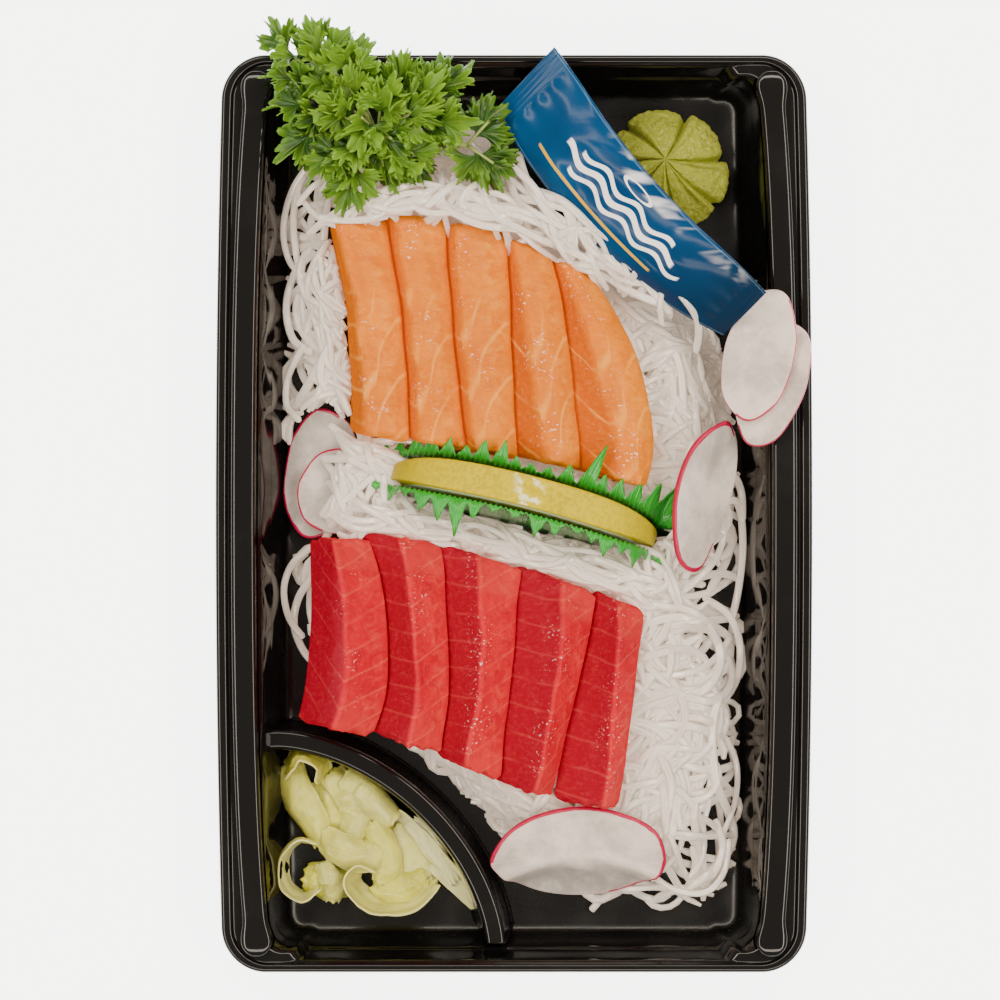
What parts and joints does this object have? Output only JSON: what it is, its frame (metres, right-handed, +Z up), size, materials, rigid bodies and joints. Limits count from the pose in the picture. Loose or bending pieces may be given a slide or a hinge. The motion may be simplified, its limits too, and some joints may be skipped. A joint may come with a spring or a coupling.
{
  "type": "sashimi tray",
  "caption": "Black plastic takeaway tray of sliced salmon and tuna on shredded daikon, with lemon, radish, ginger, wasabi, parsley and a sauce packet.",
  "frame": {"origin": "centre of the tray's flat base, on the table", "axes": "+Y along the tray towards the parsley and the sauce packet, +X towards the right-hand long side, +Z up"},
  "size_m": [0.1406, 0.225, 0.0382],
  "materials": {
    "black_plastic": "glossy black thermoformed sheet",
    "salmon_flesh": "moist, slightly glossy raw fish",
    "tuna_flesh": "moist, slightly glossy raw fish",
    "lemon": "waxy, finely pitted peel",
    "grass": "thin translucent film",
    "radish": "moist, slightly translucent",
    "wasabi": "grainy matt paste",
    "packet": "printed glossy film",
    "parsley": "satin leaf",
    "ginger": "moist, translucent",
    "daikon": "moist, translucent"
  },
  "bodies": {
    "root": {"tray": "black_plastic", "salmon_1": "salmon_flesh", "salmon_2": "salmon_flesh", "salmon_3": "salmon_flesh", "salmon_4": "salmon_flesh", "salmon_5": "salmon_flesh", "tuna_1": "tuna_flesh", "tuna_2": "tuna_flesh", "tuna_3": "tuna_flesh", "tuna_4": "tuna_flesh", "tuna_5": "tuna_flesh", "lemon": "lemon", "grass": "grass", "radish_1": "radish", "radish_2": "radish", "radish_3": "radish", "radish_4": "radish", "radish_5": "radish", "radish_6": "radish", "wasabi": "wasabi", "packet": "packet", "parsley": "parsley", "ginger": "ginger", "daikon": "daikon"}
  },
  "joints": []
}
